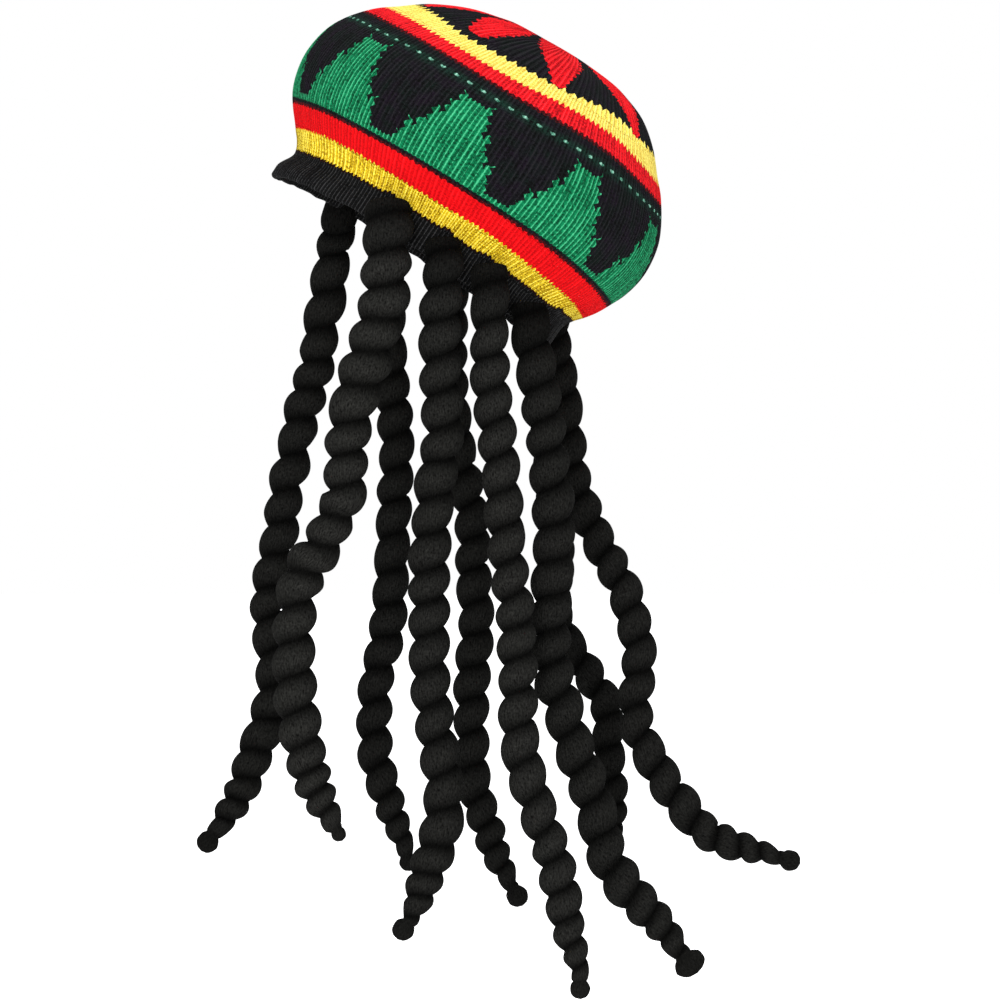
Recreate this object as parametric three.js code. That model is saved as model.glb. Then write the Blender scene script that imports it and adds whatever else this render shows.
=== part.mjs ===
// A rasta tam: a full, round knit cap with a black ribbed band, and nine twisted yarn locks that
// hang from the band. Millimetres, +Z up, the wearer's forehead towards -X. The cap is tipped back
// as it is worn, and the origin is the middle of the head opening, at the cap's lower edge.
import * as THREE from 'three';
import { mergeVertices } from 'three/addons/utils/BufferGeometryUtils.js';

// Driving dimensions of the cap, in its own upright frame
const TIP_BACK = THREE.MathUtils.degToRad(33.3);
const KNIT_WALL = 2.6;
const BAND_WALL = 4.4; // the ribbed band is folded double
const PIECE_GAP = 0.35; // left between one knit zone and the next
const SIDE_TO_SIDE = 0.92; // width of the cap as a share of its length
const SIDE_LIFT = 5; // the lower edge arches up this far over each ear
const LIFT_FADES_AT = 126; // height where that arch has died out
const BELLY_FORWARD = 1.7; // the fullest part sits this far forward of the band
const BELLY_FROM = 31.6; // over these heights it comes forward
const BELLY_FULL = 48.9;
const SHOULDER = 86.3; // above this height the outline draws in to the top
const CROWN_BACK = 9; // the top is fuller behind: its rings lie back, most at CROWN_BACK_AT
const CROWN_BACK_AT = 40;
const DIMPLE_FORWARD = 19.3; // but the dimple lies forward again of those rings
const CREST_LIFT = 1.4; // the top is higher behind the dimple
const CREST_HALF = 20;
const CREST_FROM = 126.5; // height where that rise begins
const CROWN_TOP = 151;

// The ribbed band stands out over the forehead as a short, steep peak
const PEAK_FLARE = 5.2;
const PEAK_HALF_ANGLE = THREE.MathUtils.degToRad(66);
const PEAK_FADES_FROM = 6.8; // up to this height the peak has its full flare
const PEAK_TOP = 19.5; // and here it has died out

// The band's section, as shares of its thickness and of its height, with a rounded hem
const BAND_SECTION = [
  { out: 0.00, up: 1.00 },
  { out: 0.00, up: 0.50 },
  { out: 0.00, up: 0.11 },
  { out: 0.20, up: 0.03 },
  { out: 0.50, up: 0.00 },
  { out: 0.80, up: 0.03 },
  { out: 1.00, up: 0.11 },
  { out: 1.00, up: 0.30 },
  { out: 1.00, up: 0.55 },
  { out: 1.00, up: 0.80 },
  { out: 1.08, up: 1.00 },
];

// Where one colour of the knit gives way to the next: millimetres of fabric up from the lower edge
const BAND_TOP = 21.5;
const WELT_TOP = 35.5;
const RED_BAND_TOP = 53;
const PANEL_TOP = 121.5;
const UPPER_RED_TOP = 134;
const UPPER_YELLOW_TOP = 149.5;

// Half the cap's length at each height, from the lower edge up and in to the dimple on top
const OUTLINE = [
  { height: 0.0, reach: 91.2 },
  { height: 10.0, reach: 91.4 },
  { height: 19.5, reach: 91.8 },
  { height: 25.5, reach: 94.6 },
  { height: 31.6, reach: 99.6 },
  { height: 42.0, reach: 107.2 },
  { height: 54.6, reach: 113.4 },
  { height: 70.0, reach: 116.4 },
  { height: 86.3, reach: 114.6 },
  { height: 99.0, reach: 109.2 },
  { height: 112.7, reach: 99.2 },
  { height: 122.0, reach: 89.2 },
  { height: 133.4, reach: 76.6 },
  { height: 143.2, reach: 60.2 },
  { height: 148.4, reach: 44.6 },
  { height: 150.9, reach: 33.0 },
  { height: 150.8, reach: 17.0 },
  { height: 148.0, reach: 0.0 },
];

// Each zone: where it begins and ends in the fabric, and its faces up the outside
const ZONES = [
  { name: 'yellow_welt', from: BAND_TOP, to: WELT_TOP, rows: 2, colour: 0xecd02c },
  { name: 'red_band', from: WELT_TOP, to: RED_BAND_TOP, rows: 3, colour: 0xe0101c },
  { name: 'side_panel', from: RED_BAND_TOP, to: PANEL_TOP, rows: 7, colour: 0x14804f },
  { name: 'upper_red_stripe', from: PANEL_TOP, to: UPPER_RED_TOP, rows: 1, colour: 0xe0101c },
  { name: 'upper_yellow_stripe', from: UPPER_RED_TOP, to: UPPER_YELLOW_TOP, rows: 1, colour: 0xf8e45e },
  { name: 'crown_top', from: UPPER_YELLOW_TOP, to: Infinity, rows: 8, colour: 0x1c1418 },
];
const AROUND = 40;
const DRUM = 200; // each zone is turned on a drum of this radius before it is shaped
const BAND_COLOUR = 0x17151a;
const LOCK_COLOUR = 0x19191b;
const YARN_ROUGHNESS = 0.92;

// Half the thickness of a lock at each share of its length, ending in a ball knot
const LOCK_FORM = [
  { share: 0.00, half: 6.6 },
  { share: 0.03, half: 9.2 },
  { share: 0.07, half: 11.0 },
  { share: 0.30, half: 10.8 },
  { share: 0.60, half: 10.3 },
  { share: 0.80, half: 9.8 },
  { share: 0.90, half: 8.8 },
  { share: 0.95, half: 7.0 },
  { share: 0.98, half: 5.0 },
  { share: 1.00, half: 4.0 },
];
// Some locks are spun thicker or thinner than that
const LOCK_GIRTH = {
  lock_1: 1.00, lock_2: 1.06, lock_3: 0.97, lock_4: 1.06, lock_5: 0.97,
  lock_6: 1.00, lock_7: 1.08, lock_8: 0.98, lock_9: 0.92,
};
const LOCK_SIDES = 8;
const LOCK_STEPS = 28;
const STEPS_CLOSE_UP = 1.15; // above 1, the steps are shorter towards the thin end
const ROUTE_SLICES = 400; // directions are worked out at this many places along a lock
const KNOT_HALF = 6.8;
const KNOT_SCORE = [ // the ball knot as it comes out of the lock's thin end
  { past: 0.35, half: 0.86 },
  { past: 1.00, half: 1.00 },
  { past: 1.60, half: 0.80 },
];

// The middle line of each lock, root first, as it hangs: x, y, z
const LOCKS = {
  lock_1: [[-42, 75.6, 33], [-45, 84.6, 18], [-48, 85.3, -1], [-50, 86.1, -16], [-54, 85.8, -34],
    [-55, 86.3, -49], [-60, 85.7, -67], [-66, 84.8, -88], [-69, 84, -105], [-74, 83, -127],
    [-76, 82, -145], [-80, 80, -167], [-84, 79, -190], [-83, 78, -210], [-81, 77, -231],
    [-82, 76, -250], [-86, 74, -267], [-92, 72, -282], [-99, 70, -302], [-107, 68, -316],
    [-113, 66, -325], [-123, 63, -338]],
  lock_2: [[-11, -86.6, 34], [-11, -94.6, 22], [-12, -98.5, 0], [-13, -98.6, -20], [-19, -97.5, -42],
    [-25, -96.1, -62], [-31, -94.6, -81], [-34, -92.8, -101], [-35, -92, -118], [-36, -91, -132],
    [-42, -90, -144], [-48, -88, -158], [-57, -86, -171], [-62, -85, -185], [-64, -84, -206],
    [-64, -84, -234], [-61, -84, -260], [-56, -84, -284], [-51, -84, -298], [-45, -84, -310],
    [-37, -84, -325]],
  lock_3: [[-15, 87.2, 21], [-15, 95.2, 7], [-15, 96.8, -15], [-14, 96.4, -42], [-11, 95.1, -76],
    [-9, 93.5, -100], [-10, 92.7, -129], [-11, 91.9, -147], [-12, 91, -174], [-14, 90, -205],
    [-17, 89, -222], [-21, 88, -239], [-22, 87, -258], [-22, 86, -275], [-20, 85, -290],
    [-15, 84, -306], [-10, 84, -321], [-5, 84, -334], [-1, 84, -351]],
  lock_4: [[20, -89.9, 13], [20, -96.9, 0], [19, -99.5, -21], [18, -99.3, -42], [19, -97.9, -77],
    [20, -96.3, -96], [16, -95.7, -119], [14, -94.8, -142], [12, -94, -167], [12, -92, -188],
    [12, -91, -210], [12, -90, -230], [14, -88, -250], [17, -87, -272], [20, -86, -291],
    [20, -86, -306], [18, -87, -322], [12, -88, -339], [7, -89, -354], [3, -90, -365], [-6, -90, -380]],
  lock_5: [[24, 88.2, 3], [23, 94.2, -11], [22, 94, -39], [23, 92.9, -76], [28, 91.6, -108],
    [33, 91.2, -130], [36, 90.6, -151], [36, 89.8, -177], [38, 89, -205], [36, 88, -229],
    [35, 87, -249], [35, 86, -274], [36, 84, -297], [40, 83, -313], [45, 82, -327], [49, 80, -340],
    [54, 79, -350], [58, 78, -358], [65, 78, -371]],
  lock_6: [[46, -82, -1], [46, -88, -15], [46, -91.4, -32], [46, -92.9, -43], [46, -93.3, -64],
    [48, -92.6, -81], [51, -91.8, -105], [53, -90.9, -127], [55, -90, -153], [57, -90, -174],
    [60, -90, -193], [61, -90, -213], [62, -91, -238], [62, -92, -258], [65, -92, -282],
    [71, -92, -300], [75, -91, -315], [81, -90, -330], [84, -90, -343], [87, -89, -356],
    [89, -88, -369], [92, -87, -382], [96, -86, -395], [97, -86, -414]],
  lock_7: [[69, -63.2, -22], [69, -67.2, -35], [70, -70, -46], [73, -71.9, -64], [75, -71.7, -78],
    [78, -70.2, -98], [80, -68.6, -120], [82, -66.8, -139], [82, -65, -159], [81, -62, -184],
    [80, -60, -201], [80, -58, -215], [82, -57, -233], [87, -56, -249], [91, -55, -265],
    [97, -54, -282], [103, -53, -299], [107, -52, -313], [110, -51, -327], [115, -50, -341],
    [124, -49, -354], [135, -48, -366], [145, -47, -377], [152, -46, -387], [164, -46, -402]],
  lock_8: [[82, 37.3, -34], [83, 41.3, -43], [85, 44.5, -53], [88, 47.1, -65], [90, 48.3, -82],
    [92, 47.8, -100], [94, 46.9, -117], [100, 43.5, -137], [110, 40, -159], [117, 37, -172],
    [124, 34, -185], [128, 31, -200], [132, 28, -217], [133, 26, -233], [133, 24, -249],
    [134, 22, -264], [137, 20, -276], [142, 19, -287], [149, 18, -299], [157, 17, -309],
    [164, 16, -319], [173, 15, -326], [183, 14, -331], [194, 14, -334], [209, 14, -338],
    [225, 14, -343]],
  lock_9: [[72, 53.6, -29], [73, 61.6, -42], [76, 67.3, -63], [78, 70.6, -80], [80, 71.3, -110],
    [84, 70.3, -145], [86, 68.7, -170], [83, 67.3, -193], [89, 66, -215], [96, 64, -228],
    [103, 62, -239], [110, 60, -250], [113, 58, -261], [114, 56, -276], [115, 54, -290],
    [118, 52, -306], [118, 50, -321], [117, 47, -341]],
};

const smooth = (low, high, value) => THREE.MathUtils.smoothstep(value, low, high);

// A value between two rows of a table
function fromTable(table, key, at, column) {
  const found = table.findIndex((row) => row[key] >= at);
  if (found < 0) return table[table.length - 1][column];
  const [a, b] = [table[Math.max(found, 1) - 1], table[Math.max(found, 1)]];
  return THREE.MathUtils.mapLinear(at, a[key], b[key], a[column], b[column]);
}

// The outline as one smooth curve
const outline = new THREE.SplineCurve(OUTLINE.map((row) => new THREE.Vector2(row.reach, row.height)));

// Where a place in the knit lies on the outline, so far up the fabric and so far out from its face
function onOutline(up, out) {
  const share = THREE.MathUtils.clamp(up / outline.getLength(), 0, 1);
  const point = outline.getPointAt(share);
  const along = outline.getTangentAt(share);
  const reach = share < 1 ? Math.max(point.x + along.y * out, 0) : 0;
  return { reach, height: point.y - along.x * out };
}

// How far back of the band's middle a ring of the outline lies
function setBack(reach, height) {
  const belly = -BELLY_FORWARD * smooth(BELLY_FROM, BELLY_FULL, height);
  if (height < SHOULDER) return belly;
  const crown = CROWN_BACK * (1 - smooth(CROWN_BACK_AT, OUTLINE[7].reach, reach));
  return belly + crown - DIMPLE_FORWARD * (1 - smooth(0, CROWN_BACK_AT * 0.9, reach));
}

// Towards the forehead the band's lower part stands out
function peakFlare(forward, height) {
  const facing = smooth(Math.cos(PEAK_HALF_ANGLE), 1, forward);
  return PEAK_FLARE * facing * (1 - smooth(PEAK_FADES_FROM, PEAK_TOP, height));
}

// Moves a point from the drum onto the cap: oval, arched over the ears, fuller behind
function shapePoint(point) {
  const round = Math.hypot(point.x, point.y);
  const sideways = point.y / round;
  const forward = -point.x / round;
  const { reach, height } = onOutline(point.z, round - DRUM);
  const far = reach + (reach > 0 ? peakFlare(forward, height) : 0);
  const x = -forward * far + setBack(reach, height);
  const arch = SIDE_LIFT * sideways ** 2 * (1 - smooth(0, LIFT_FADES_AT, height));
  const crest = CREST_LIFT * smooth(CREST_FROM, CROWN_TOP, height) * smooth(-CREST_HALF, CREST_HALF, x);
  point.set(x, sideways * far * SIDE_TO_SIDE, height + (reach > 0 ? arch : 0) + crest);
}

// A section, out from the knit's face and up the fabric, is turned on a drum and then shaped
function turned(section) {
  const profile = section.map(([out, up]) => new THREE.Vector2(DRUM + out, up));
  const shell = new THREE.LatheGeometry(profile, AROUND);
  shell.rotateX(Math.PI / 2);
  shell.deleteAttribute('normal');
  shell.deleteAttribute('uv');
  const place = shell.attributes.position;
  const point = new THREE.Vector3();
  for (let index = 0; index < place.count; index += 1) {
    shapePoint(point.fromBufferAttribute(place, index));
    place.setXYZ(index, point.x, point.y, point.z);
  }
  return mergeVertices(shell);
}

// A zone that is a ring has a closed section; the crown's top starts and ends at the dimple
function zoneGeometry(zone) {
  const isTop = zone.to === Infinity;
  const from = zone.from + PIECE_GAP / 2;
  const to = isTop ? outline.getLength() : zone.to - PIECE_GAP / 2;
  const outside = [];
  for (let row = 0; row <= zone.rows; row += 1) {
    outside.push([0, THREE.MathUtils.lerp(from, to, row / zone.rows)]);
  }
  const inside = outside.map(([, up]) => [-KNIT_WALL, up]).reverse();
  return turned(isTop ? [...inside, ...outside] : [...outside, ...inside, outside[0]]);
}

function bandGeometry() {
  const top = BAND_TOP - PIECE_GAP / 2;
  const section = BAND_SECTION.map((row) => [(row.out - 1) * BAND_WALL, row.up * top]);
  return turned([...section, section[0]]);
}

function named(name, geometry, colour) {
  geometry.computeVertexNormals();
  const look = { color: colour, roughness: YARN_ROUGHNESS, metalness: 0 };
  const material = new THREE.MeshStandardMaterial(look);
  const mesh = new THREE.Mesh(geometry, material);
  mesh.name = name;
  return mesh;
}

// A lock is turned straight, with its ball knot, and then laid along its middle line
function lockGeometry(points, girth) {
  const route = new THREE.CatmullRomCurve3(points.map((p) => new THREE.Vector3(...p)), false, 'centripetal');
  const length = route.getLength();
  const body = length - 2 * KNOT_HALF;
  const profile = [new THREE.Vector2(0, 0)];
  for (let step = 0; step <= LOCK_STEPS; step += 1) {
    const share = 1 - (1 - step / LOCK_STEPS) ** STEPS_CLOSE_UP;
    profile.push(new THREE.Vector2(fromTable(LOCK_FORM, 'share', share, 'half') * girth, share * body));
  }
  KNOT_SCORE.forEach((row) => {
    profile.push(new THREE.Vector2(row.half * KNOT_HALF, body + row.past * KNOT_HALF));
  });
  profile.push(new THREE.Vector2(0, length));
  const lock = new THREE.LatheGeometry(profile, LOCK_SIDES);
  lock.deleteAttribute('normal');
  lock.deleteAttribute('uv');
  const bent = mergeVertices(lock);
  layAlong(bent, route, length);
  return bent;
}

// Moves each point of a straight form, upright on its Y axis, onto a curve
function layAlong(geometry, route, length) {
  const frames = route.computeFrenetFrames(ROUTE_SLICES, false);
  const place = geometry.attributes.position;
  for (let index = 0; index < place.count; index += 1) {
    const share = THREE.MathUtils.clamp(place.getY(index) / length, 0, 1);
    const at = Math.round(share * ROUTE_SLICES);
    const point = route.getPointAt(share);
    point.addScaledVector(frames.normals[at], place.getX(index));
    point.addScaledVector(frames.binormals[at], -place.getZ(index));
    place.setXYZ(index, point.x, point.y, point.z);
  }
}

const tam = new THREE.Group();
const cap = new THREE.Group();
cap.rotation.y = TIP_BACK;
cap.add(named('rib_band', bandGeometry(), BAND_COLOUR));
ZONES.forEach((zone) => cap.add(named(zone.name, zoneGeometry(zone), zone.colour)));
tam.add(cap);
Object.entries(LOCKS).forEach(([name, points]) => {
  tam.add(named(name, lockGeometry(points, LOCK_GIRTH[name]), LOCK_COLOUR));
});

export default tam;
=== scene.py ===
# %% [markdown]
# # A rasta tam with nine twisted yarn locks
# The cap is machine knit: 243 columns of stitches (wales) run up it from a black ribbed band to the
# dimple on top. Nine locks of dark yarn hang from the band, each twisted to one hand and knotted at
# its tip. The cap's form, the camera and the routes of the locks come first, then the knit, whose
# colours are charted by stitch, then the light.

# %% Frame and small helpers
import math
import bpy
import numpy as np
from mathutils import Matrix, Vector


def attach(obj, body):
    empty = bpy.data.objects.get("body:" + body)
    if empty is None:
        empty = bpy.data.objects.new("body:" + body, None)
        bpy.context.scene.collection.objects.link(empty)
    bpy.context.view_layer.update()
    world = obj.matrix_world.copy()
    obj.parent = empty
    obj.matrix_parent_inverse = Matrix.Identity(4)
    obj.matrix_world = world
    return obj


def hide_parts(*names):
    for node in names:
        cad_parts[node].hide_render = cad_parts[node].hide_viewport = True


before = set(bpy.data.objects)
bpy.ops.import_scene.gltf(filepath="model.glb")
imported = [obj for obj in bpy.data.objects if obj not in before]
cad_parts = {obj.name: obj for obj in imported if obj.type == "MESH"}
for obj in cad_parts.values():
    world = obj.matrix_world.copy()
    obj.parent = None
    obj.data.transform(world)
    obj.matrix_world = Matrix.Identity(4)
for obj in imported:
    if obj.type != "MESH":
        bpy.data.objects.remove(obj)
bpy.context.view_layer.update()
MM = 0.001


def linear(hex_colour):
    """An sRGB colour such as "e0101c" as the linear RGBA that a shader takes."""
    parts = [int(hex_colour[i:i + 2], 16) / 255 for i in (0, 2, 4)]
    return [p / 12.92 if p <= 0.04045 else ((p + 0.055) / 1.055) ** 2.4 for p in parts] + [1.0]


def smooth(low, high, value):
    share = np.clip((value - low) / (high - low), 0, 1)
    return share * share * (3 - 2 * share)


# %% [markdown]
# ## The camera
# The photo is taken level, from far enough away that the far side of the cap's edge stays hidden.
# 4 m does that, and 575 mm of width fills the frame at the middle of the hat.

# %% Camera
CAMERA_AT = (0.05175, -4.0, -0.1331)
WIDTH_SEEN = 0.575
SENSOR = 36
lens = bpy.data.cameras.new("camera")
lens.sensor_width = SENSOR
lens.lens = SENSOR * -CAMERA_AT[1] / WIDTH_SEEN
camera = bpy.data.objects.new("camera", lens)
camera.location = CAMERA_AT
camera.rotation_euler = (math.pi / 2, 0, 0)
bpy.context.scene.collection.objects.link(camera)
bpy.context.scene.camera = camera
print("lens", round(lens.lens, 1), "mm")

# %% [markdown]
# ## The locks' routes
# Each lock has a list of points in millimetres: its middle line from the root at the band to the knot.
# They are those of the solid model, apart from ten points of lock_8 and lock_9, which lie up to 3 mm to
# one side so that the two meet in the picture where they cross.

# %% Routes of the locks
ROUTES = {
    "lock_1": [(-42, 75.6, 33), (-45, 84.6, 18), (-48, 85.3, -1), (-50, 86.1, -16), (-54, 85.8, -34),
               (-55, 86.3, -49), (-60, 85.7, -67), (-66, 84.8, -88), (-69, 84, -105), (-74, 83, -127),
               (-76, 82, -145), (-80, 80, -167), (-84, 79, -190), (-83, 78, -210), (-81, 77, -231),
               (-82, 76, -250), (-86, 74, -267), (-92, 72, -282), (-99, 70, -302), (-107, 68, -316),
               (-113, 66, -325), (-123, 63, -338)],
    "lock_2": [(-11, -86.6, 34), (-11, -94.6, 22), (-12, -98.5, 0), (-13, -98.6, -20),
               (-19, -97.5, -42), (-25, -96.1, -62), (-31, -94.6, -81), (-34, -92.8, -101),
               (-35, -92, -118), (-36, -91, -132), (-42, -90, -144), (-48, -88, -158),
               (-57, -86, -171), (-62, -85, -185), (-64, -84, -206), (-64, -84, -234),
               (-61, -84, -260), (-56, -84, -284), (-51, -84, -298), (-45, -84, -310),
               (-37, -84, -325)],
    "lock_3": [(-15, 87.2, 21), (-15, 95.2, 7), (-15, 96.8, -15), (-14, 96.4, -42), (-11, 95.1, -76),
               (-9, 93.5, -100), (-10, 92.7, -129), (-11, 91.9, -147), (-12, 91, -174),
               (-14, 90, -205), (-17, 89, -222), (-21, 88, -239), (-22, 87, -258), (-22, 86, -275),
               (-20, 85, -290), (-15, 84, -306), (-10, 84, -321), (-5, 84, -334), (-1, 84, -351)],
    "lock_4": [(20, -89.9, 13), (20, -96.9, 0), (19, -99.5, -21), (18, -99.3, -42), (19, -97.9, -77),
               (20, -96.3, -96), (16, -95.7, -119), (14, -94.8, -142), (12, -94, -167),
               (12, -92, -188), (12, -91, -210), (12, -90, -230), (14, -88, -250), (17, -87, -272),
               (20, -86, -291), (20, -86, -306), (18, -87, -322), (12, -88, -339), (7, -89, -354),
               (3, -90, -365), (-6, -90, -380)],
    "lock_5": [(24, 88.2, 3), (23, 94.2, -11), (22, 94, -39), (23, 92.9, -76), (28, 91.6, -108),
               (33, 91.2, -130), (36, 90.6, -151), (36, 89.8, -177), (38, 89, -205), (36, 88, -229),
               (35, 87, -249), (35, 86, -274), (36, 84, -297), (40, 83, -313), (45, 82, -327),
               (49, 80, -340), (54, 79, -350), (58, 78, -358), (65, 78, -371)],
    "lock_6": [(46, -82, -1), (46, -88, -15), (46, -91.4, -32), (46, -92.9, -43), (46, -93.3, -64),
               (48, -92.6, -81), (51, -91.8, -105), (53, -90.9, -127), (55, -90, -153),
               (57, -90, -174), (60, -90, -193), (61, -90, -213), (62, -91, -238), (62, -92, -258),
               (65, -92, -282), (71, -92, -300), (75, -91, -315), (81, -90, -330), (84, -90, -343),
               (87, -89, -356), (89, -88, -369), (92, -87, -382), (96, -86, -395), (97, -86, -414)],
    "lock_7": [(69, -63.2, -22), (69, -67.2, -35), (70, -70, -46), (73, -71.9, -64), (75, -71.7, -78),
               (78, -70.2, -98), (80, -68.6, -120), (82, -66.8, -139), (82, -65, -159),
               (81, -62, -184), (80, -60, -201), (80, -58, -215), (82, -57, -233), (87, -56, -249),
               (91, -55, -265), (97, -54, -282), (103, -53, -299), (107, -52, -313),
               (110, -51, -327), (115, -50, -341), (124, -49, -354), (135, -48, -366),
               (145, -47, -377), (152, -46, -387), (164, -46, -402)],
    "lock_8": [(82, 37.3, -34), (83, 41.3, -43), (85, 44.5, -53), (88, 47.1, -65), (90, 48.3, -82),
               (92, 47.8, -100), (94, 46.9, -117), (100, 43.5, -137), (110, 40, -159),
               (117, 37, -172), (124, 34, -185), (128, 31, -200), (132, 28, -217), (132, 26, -233),
               (130, 24, -249), (131, 22, -264), (136, 20, -276), (142, 19, -287), (149, 18, -299),
               (157, 17, -309), (164, 16, -319), (173, 15, -326), (183, 14, -331), (194, 14, -334),
               (209, 14, -338), (225, 14, -343)],
    "lock_9": [(72, 53.6, -29), (73, 61.6, -42), (76, 67.3, -63), (78, 70.6, -80), (80, 71.3, -110),
               (84, 70.3, -145), (86, 68.7, -170), (83, 67.3, -193), (91, 66, -215), (99, 64, -228),
               (106, 62, -239), (113, 60, -250), (115, 58, -261), (115, 56, -276), (115, 54, -290),
               (118, 52, -306), (118, 50, -321), (117, 47, -341)],
}

# %% [markdown]
# ## A lock
# Each lock is one thick yarn, twisted until it coils on itself. One groove winds round it about every
# 19 mm, so its edge shows a row of round bumps with sharp notches, left and right by turns. The tube
# is pushed in along that groove. Its knot is a ball past a thin neck.

# %% Shape of a lock
# half: half thickness at the bumps, top: how much thicker it is near the root, pitch: one turn of the
# groove, knot: half length of the ball, wide: how wide the ball is for its length, shade: painted light,
# how much lighter or darker the lock is painted for the light it catches, start: the share of a turn where
# the groove begins. Lengths are in mm.
LOCK_STYLE = {
    "lock_1": dict(half=10.7, top=1.00, pitch=19.6, knot=6.6, wide=1.0, shade=0.86, start=0.10),
    "lock_2": dict(half=12.2, top=1.14, pitch=19.0, knot=4.4, wide=1.0, shade=1.40, start=0.55),
    "lock_3": dict(half=10.4, top=1.00, pitch=19.4, knot=5.4, wide=1.0, shade=0.90, start=0.30),
    "lock_4": dict(half=11.4, top=1.00, pitch=19.8, knot=6.5, wide=1.0, shade=1.10, start=0.75),
    "lock_5": dict(half=10.4, top=1.00, pitch=19.0, knot=6.6, wide=1.0, shade=0.90, start=0.05),
    "lock_6": dict(half=10.7, top=1.00, pitch=19.2, knot=5.9, wide=1.0, shade=1.28, start=0.45),
    "lock_7": dict(half=11.8, top=0.96, pitch=20.0, knot=7.0, wide=1.38, shade=1.00, start=0.85),
    "lock_8": dict(half=10.3, top=0.95, pitch=18.8, knot=6.3, wide=1.0, shade=0.95, start=0.20),
    "lock_9": dict(half=9.6, top=0.95, pitch=19.0, knot=5.2, wide=1.0, shade=0.85, start=0.60),
}
TAPER_SHARE = (0.00, 0.01, 0.04, 0.86, 0.90, 0.94, 0.97, 0.985, 1.00)  # share of the way to the knot
TAPER_HALF = (0.80, 0.92, 1.00, 1.00, 0.95, 0.85, 0.70, 0.55, 0.46)  # share of the usual thickness
TOP_FADES = (70, 150)  # mm from the root
UNEVEN, UNEVEN_EVERY = 0.045, 14  # share of the thickness, mm between swellings
DRIFT, DRIFT_EVERY = 0.14, 45  # turns by which the twist runs ahead or behind, mm between changes
TIGHTER, TIGHTER_FROM = 0.3, 0.84  # how much tighter the twist gets, share of the way where that starts
NOTCH_DEPTH, NOTCH_UNEVEN = 0.40, 0.3  # share of the thickness, how much notches differ
NOTCH_AT_ROOT, NOTCH_GROWS = 0.35, (4, 36)  # share of the depth at the root, mm where it becomes full
ROUND_BUMP, BUMP_HEIGHT = 0.25, 1.05  # share of a half circle in a bump's outline, its top
GROOVE_LEAN = 0.1  # turns by which the groove lags at the back of a ring
FLATTER, FLAT_FADES = 0.45, (8, 50)  # how much flatter the outer half is at the root, mm where it fades
KNOT_FOLDS, KNOT_LIGHT = 0.05, 0.7  # depth of the folds in the ball, its place between groove and crest
RING_STEP, RING_SIDES = 0.85, 48  # mm from ring to ring, points in a ring
CURVE_STEPS = 24  # places worked out between two points of a route
BUMPS, BUMPS_BEFORE = 4096, 64  # size of the list of bump depths, and room in it for negative numbers


def curve_through(points, step):
    """Points a fixed step apart on a smooth curve through the given ones, and how far along each lies."""
    p = np.array(points, float)
    p = np.vstack([2 * p[0] - p[1], p, 2 * p[-1] - p[-2]])
    t = np.linspace(0, 1, CURVE_STEPS, endpoint=False)[:, None]
    parts = []
    for a, b, c, d in zip(p[:-3], p[1:-2], p[2:-1], p[3:]):
        parts.append(0.5 * (2 * b + (c - a) * t + (2 * a - 5 * b + 4 * c - d) * t ** 2
                            + (3 * b - a - 3 * c + d) * t ** 3))
    dense = np.vstack(parts + [p[-2:-1]])
    along = np.r_[0, np.cumsum(np.linalg.norm(np.diff(dense, axis=0), axis=1))]
    count = int(along[-1] / step) + 1
    marks = np.linspace(0, along[-1], count)
    return np.stack([np.interp(marks, along, dense[:, k]) for k in range(3)], -1), marks


def carried_frames(line):
    """Two directions across a line at each of its points, carried along it without twisting."""
    tangent = np.gradient(line, axis=0)
    tangent /= np.linalg.norm(tangent, axis=1, keepdims=True)
    across = np.zeros_like(line)
    side = np.cross(tangent[0], (0, 1, 0))
    for i, t in enumerate(tangent):
        side = side - t * side.dot(t)
        side /= np.linalg.norm(side)
        across[i] = side
    return across, np.cross(tangent, across)


def slow_noise(count, spacing, seed):
    """A smooth random run of so many numbers from -1 to 1, with a new value once in each spacing."""
    rng = np.random.default_rng(seed)
    knots = rng.uniform(-1, 1, int(count / spacing) + 3)
    at = np.arange(count) / spacing
    low = at.astype(int)
    share = smooth(0, 1, at - low)
    return knots[low] * (1 - share) + knots[low + 1] * share


def knot_ball(marks, middle, ball, wide, turn):
    """Distance from the middle line to the surface of the ball knot, with its soft folds."""
    in_ball = np.sqrt(np.clip(1 - ((marks - middle) / ball) ** 2, 0, 1)) * ball
    knob = in_ball[:, None] * (1 + (wide - 1) * np.cos(turn) ** 2)[None, :]
    return knob * (1 - KNOT_FOLDS * np.abs(np.sin(1.5 * turn[None, :] + 0.5 * marks[:, None])))


def groove(marks, share, body, style, turn, seed):
    """How far each point is out of the groove (0 to 1), and how deep the groove is there."""
    count = len(marks)
    drift = DRIFT * slow_noise(count, DRIFT_EVERY / RING_STEP, seed + 1)
    tighter = TIGHTER * smooth(TIGHTER_FROM, 1.0, share) * (marks - TIGHTER_FROM * body) / style["pitch"]
    phase = marks / style["pitch"] + drift + np.maximum(tighter, 0) + style["start"]
    lag = turn / (2 * math.pi) - GROOVE_LEAN * np.sin(turn / 2) ** 2
    coil = phase[:, None] - lag[None, :]
    place = np.abs(2 * (coil % 1.0) - 1)
    bump = (1 - ROUND_BUMP) * (1 - place ** 2) + ROUND_BUMP * np.sqrt(1 - place ** 2.2)
    lump = slow_noise(BUMPS, 1, seed + 2)[(np.floor(coil).astype(int) + BUMPS_BEFORE) % BUMPS]
    grown = NOTCH_AT_ROOT + (1 - NOTCH_AT_ROOT) * smooth(*NOTCH_GROWS, marks)
    return bump, NOTCH_DEPTH * (1 + NOTCH_UNEVEN * lump) * grown[:, None]


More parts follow.
